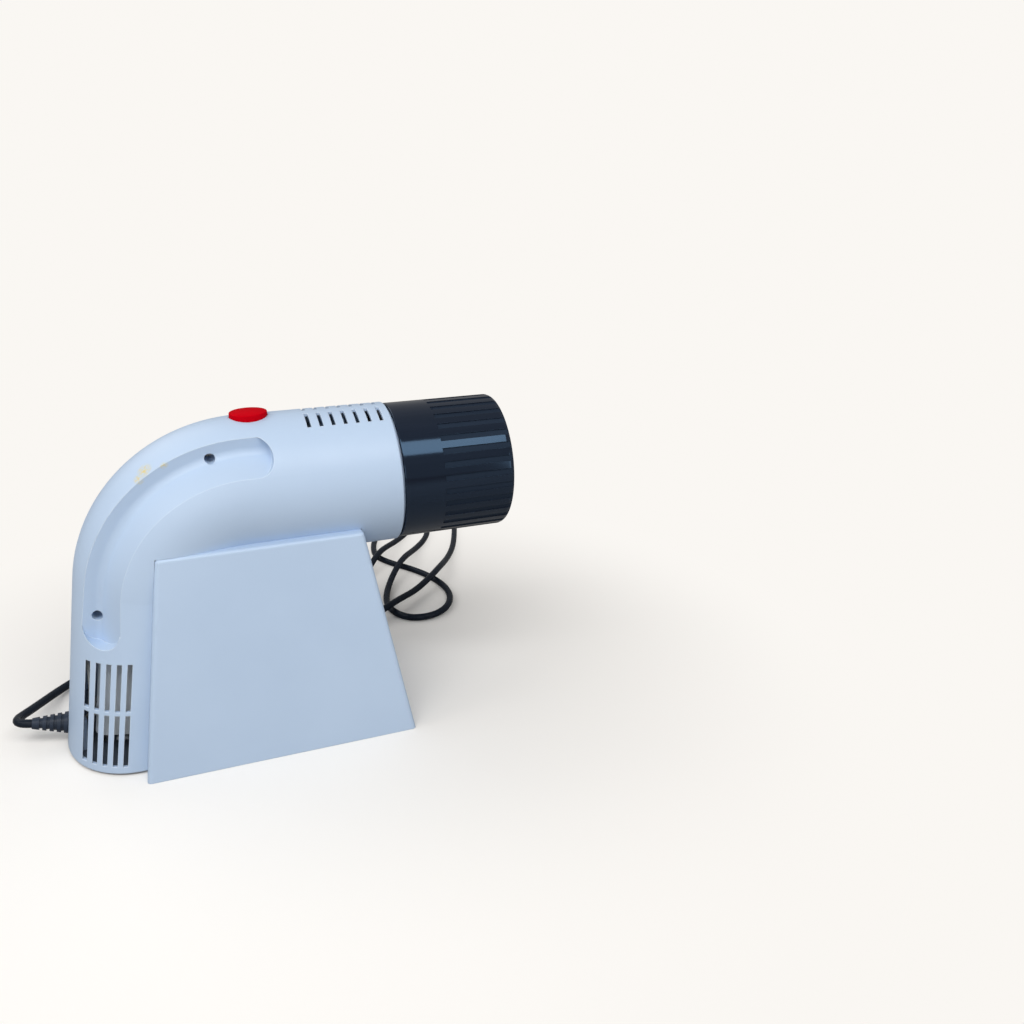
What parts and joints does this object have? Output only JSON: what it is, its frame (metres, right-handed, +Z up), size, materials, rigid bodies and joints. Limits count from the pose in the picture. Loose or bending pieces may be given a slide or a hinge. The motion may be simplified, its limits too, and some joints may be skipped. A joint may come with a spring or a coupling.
{
  "type": "opaque projector",
  "caption": "Tabletop opaque projector: a J-shaped housing with finger grips on a tapered copy hood, a ribbed focusing barrel in front, a round push button on top and a mains cord.",
  "frame": {"origin": "centre of the footprint on the table, without the free mains cord, strain relief and plug", "axes": "+X the way the lens points, +Z up, +Y to the left of the lens's view; Y = 0 is the split between the housing halves"},
  "size_m": [0.4632, 0.4982, 0.2473],
  "materials": {
    "shell": "matte moulded",
    "hood": "matte moulded",
    "dark_plastic": "matte",
    "barrel": "gloss",
    "button": "satin",
    "glass": "clear",
    "mirror": "front-silvered",
    "steel": "zinc plated",
    "sheet": "plain sheet",
    "brass": "plain",
    "porcelain": "glazed",
    "felt": "felt",
    "lead_white": "satin",
    "lead_black": "satin",
    "rubber": "satin"
  },
  "bodies": {
    "body": {"housing_right": "shell", "housing_left": "shell", "copy_hood": "hood", "base_plate": "dark_plastic", "copy_glass": "glass", "focus_tube": "shell", "mirror": "mirror", "mirror_bracket": "steel", "power_switch": "dark_plastic", "switch_nut": "steel", "button_spring": "steel", "socket_bracket": "steel", "lamp_socket": "porcelain", "lamp_cap": "brass", "lamp_bulb": "glass", "lamp_shield": "sheet", "case_screws": "steel", "base_screws": "steel", "tab_screws": "steel", "ear_screws": "steel", "strain_relief": "rubber", "lead_neutral": "lead_white", "lead_line": "lead_black", "lead_switched": "lead_white", "power_cord": "rubber", "cord_coil": "rubber", "plug_body": "rubber", "plug_blades": "brass"},
    "focus_ring": {"focus_liner": "felt"},
    "barrel": {"lens_barrel": "barrel", "lens_cell": "dark_plastic", "front_lens": "glass", "rear_lens": "glass", "lens_spacer": "dark_plastic", "lens_retainer": "dark_plastic"},
    "button": {"power_button": "button", "switch_plunger": "dark_plastic"}
  },
  "joints": [
    {"name": "focus_slide", "type": "slide", "parent": "body", "child": "focus_ring", "axis": [1, 0, 0], "range_m": [0, 0.045]},
    {"name": "focus_turn", "type": "hinge", "parent": "focus_ring", "child": "barrel", "pos_m": [0.1, 0, 0.1885], "axis": [1, 0, 0], "continuous": true},
    {"name": "button_press", "type": "slide", "parent": "body", "child": "button", "axis": [0, 0, -1], "range_m": [0, 0.003], "stiffness_N_per_m": 600, "springref_m": -0.003, "deforming": ["button_spring"]}
  ]
}
